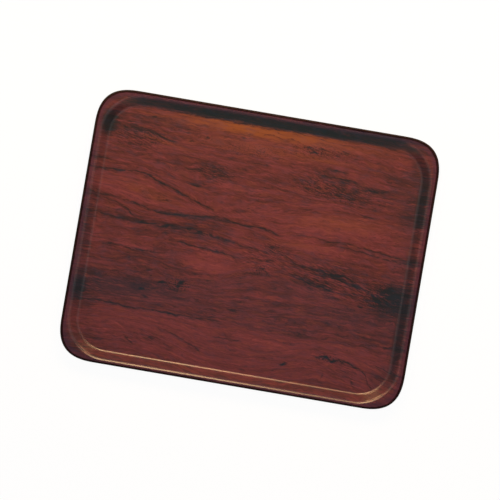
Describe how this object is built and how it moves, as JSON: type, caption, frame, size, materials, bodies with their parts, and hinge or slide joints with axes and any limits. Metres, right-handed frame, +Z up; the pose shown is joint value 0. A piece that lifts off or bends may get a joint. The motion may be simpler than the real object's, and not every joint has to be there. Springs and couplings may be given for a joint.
{
  "type": "serving tray",
  "caption": "Rectangular pressed laminate serving tray with soft corners, a flat floor, a sloped wall all round, a narrow flat rim and a dark wood-grain face.",
  "frame": {"origin": "middle of the underside, at the height of the surface the tray stands on", "axes": "+X along the tray's long side and the wood grain, +Y along its short side, +Z up out of the recess"},
  "size_m": [0.43, 0.34, 0.0166],
  "materials": {
    "clear_resin": "clear hard resin skin, soft gloss",
    "decor_print": "dark red-brown rosewood print, grain along the length",
    "core_wood_long": "pale sliced veneer, grain along the length",
    "core_wood_cross": "pale sliced veneer, grain across",
    "backing_paper": "plain dark brown resin-soaked paper",
    "backing_resin": "satin resin skin, dark brown",
    "dark_lacquer": "dark red-brown lacquer, soft gloss"
  },
  "bodies": {
    "root": {"wear_overlay": "clear_resin", "decor_sheet": "decor_print", "core_veneer_1": "core_wood_long", "core_veneer_2": "core_wood_cross", "core_veneer_3": "core_wood_long", "core_veneer_4": "core_wood_cross", "core_veneer_5": "core_wood_long", "backing_sheet": "backing_paper", "backing_overlay": "backing_resin", "edge_seal": "dark_lacquer"}
  },
  "joints": []
}
